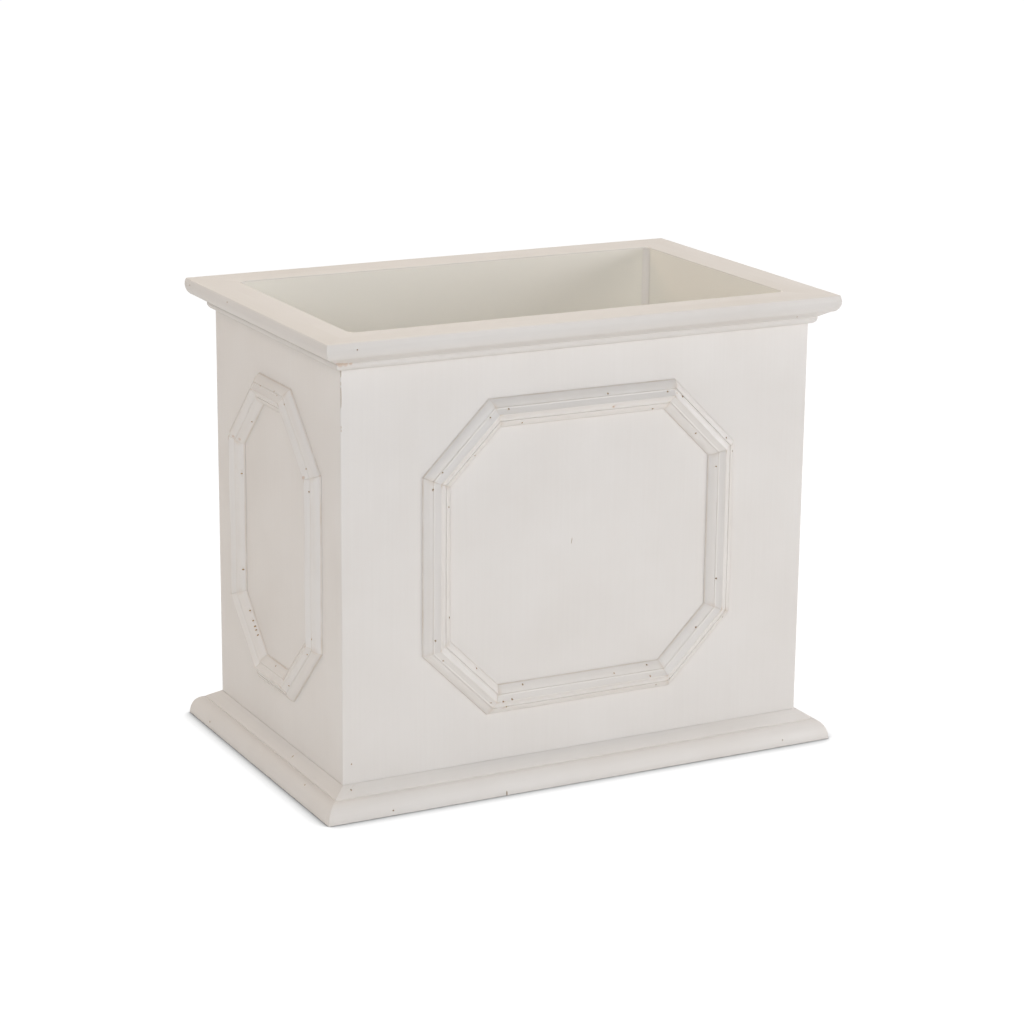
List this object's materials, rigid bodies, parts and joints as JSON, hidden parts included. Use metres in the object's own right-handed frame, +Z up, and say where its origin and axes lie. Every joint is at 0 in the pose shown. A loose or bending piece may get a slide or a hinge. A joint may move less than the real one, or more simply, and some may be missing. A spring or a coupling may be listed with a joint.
{
  "type": "versailles planter",
  "caption": "White painted wooden box planter, open at the top, with crown and base mouldings and an octagonal moulding frame on each side.",
  "frame": {"origin": "centre of the underside, on the ground", "axes": "+Z up, +X along the long sides to the right as seen from the front, the long front faces -Y"},
  "size_m": [0.674, 0.434, 0.556],
  "materials": {
    "board_paint": "satin white paint on wood board, faint grain and brush marks",
    "crown_paint": "satin white paint on moulding",
    "base_paint": "satin white paint on moulding",
    "frame_paint": "satin white paint on moulding, nail holes filled or left open",
    "bead_sealant": "painted sealant bead, soft sheen",
    "floor_paint": "thin white paint on slats",
    "batten_wood": "bare softwood"
  },
  "bodies": {
    "root": {"front_board": "board_paint", "front_crown_moulding": "crown_paint", "front_base_moulding": "base_paint", "front_frame_bottom": "frame_paint", "front_frame_bottom_right": "frame_paint", "front_frame_right": "frame_paint", "front_frame_top_right": "frame_paint", "front_frame_top": "frame_paint", "front_frame_top_left": "frame_paint", "front_frame_left": "frame_paint", "front_frame_bottom_left": "frame_paint", "front_floor_batten": "batten_wood", "right_board": "board_paint", "right_crown_moulding": "crown_paint", "right_base_moulding": "base_paint", "right_frame_bottom": "frame_paint", "right_frame_bottom_right": "frame_paint", "right_frame_right": "frame_paint", "right_frame_top_right": "frame_paint", "right_frame_top": "frame_paint", "right_frame_top_left": "frame_paint", "right_frame_left": "frame_paint", "right_frame_bottom_left": "frame_paint", "right_floor_batten": "batten_wood", "back_board": "board_paint", "back_crown_moulding": "crown_paint", "back_base_moulding": "base_paint", "back_frame_bottom": "frame_paint", "back_frame_bottom_right": "frame_paint", "back_frame_right": "frame_paint", "back_frame_top_right": "frame_paint", "back_frame_top": "frame_paint", "back_frame_top_left": "frame_paint", "back_frame_left": "frame_paint", "back_frame_bottom_left": "frame_paint", "back_floor_batten": "batten_wood", "left_board": "board_paint", "left_crown_moulding": "crown_paint", "left_base_moulding": "base_paint", "left_frame_bottom": "frame_paint", "left_frame_bottom_right": "frame_paint", "left_frame_right": "frame_paint", "left_frame_top_right": "frame_paint", "left_frame_top": "frame_paint", "left_frame_top_left": "frame_paint", "left_frame_left": "frame_paint", "left_frame_bottom_left": "frame_paint", "left_floor_batten": "batten_wood", "floor_slat_1": "floor_paint", "floor_slat_2": "floor_paint", "floor_slat_3": "floor_paint", "floor_slat_4": "floor_paint", "floor_slat_5": "floor_paint", "corner_bead_front_left": "bead_sealant", "corner_bead_front_right": "bead_sealant", "corner_bead_back_right": "bead_sealant", "corner_bead_back_left": "bead_sealant"}
  },
  "joints": []
}
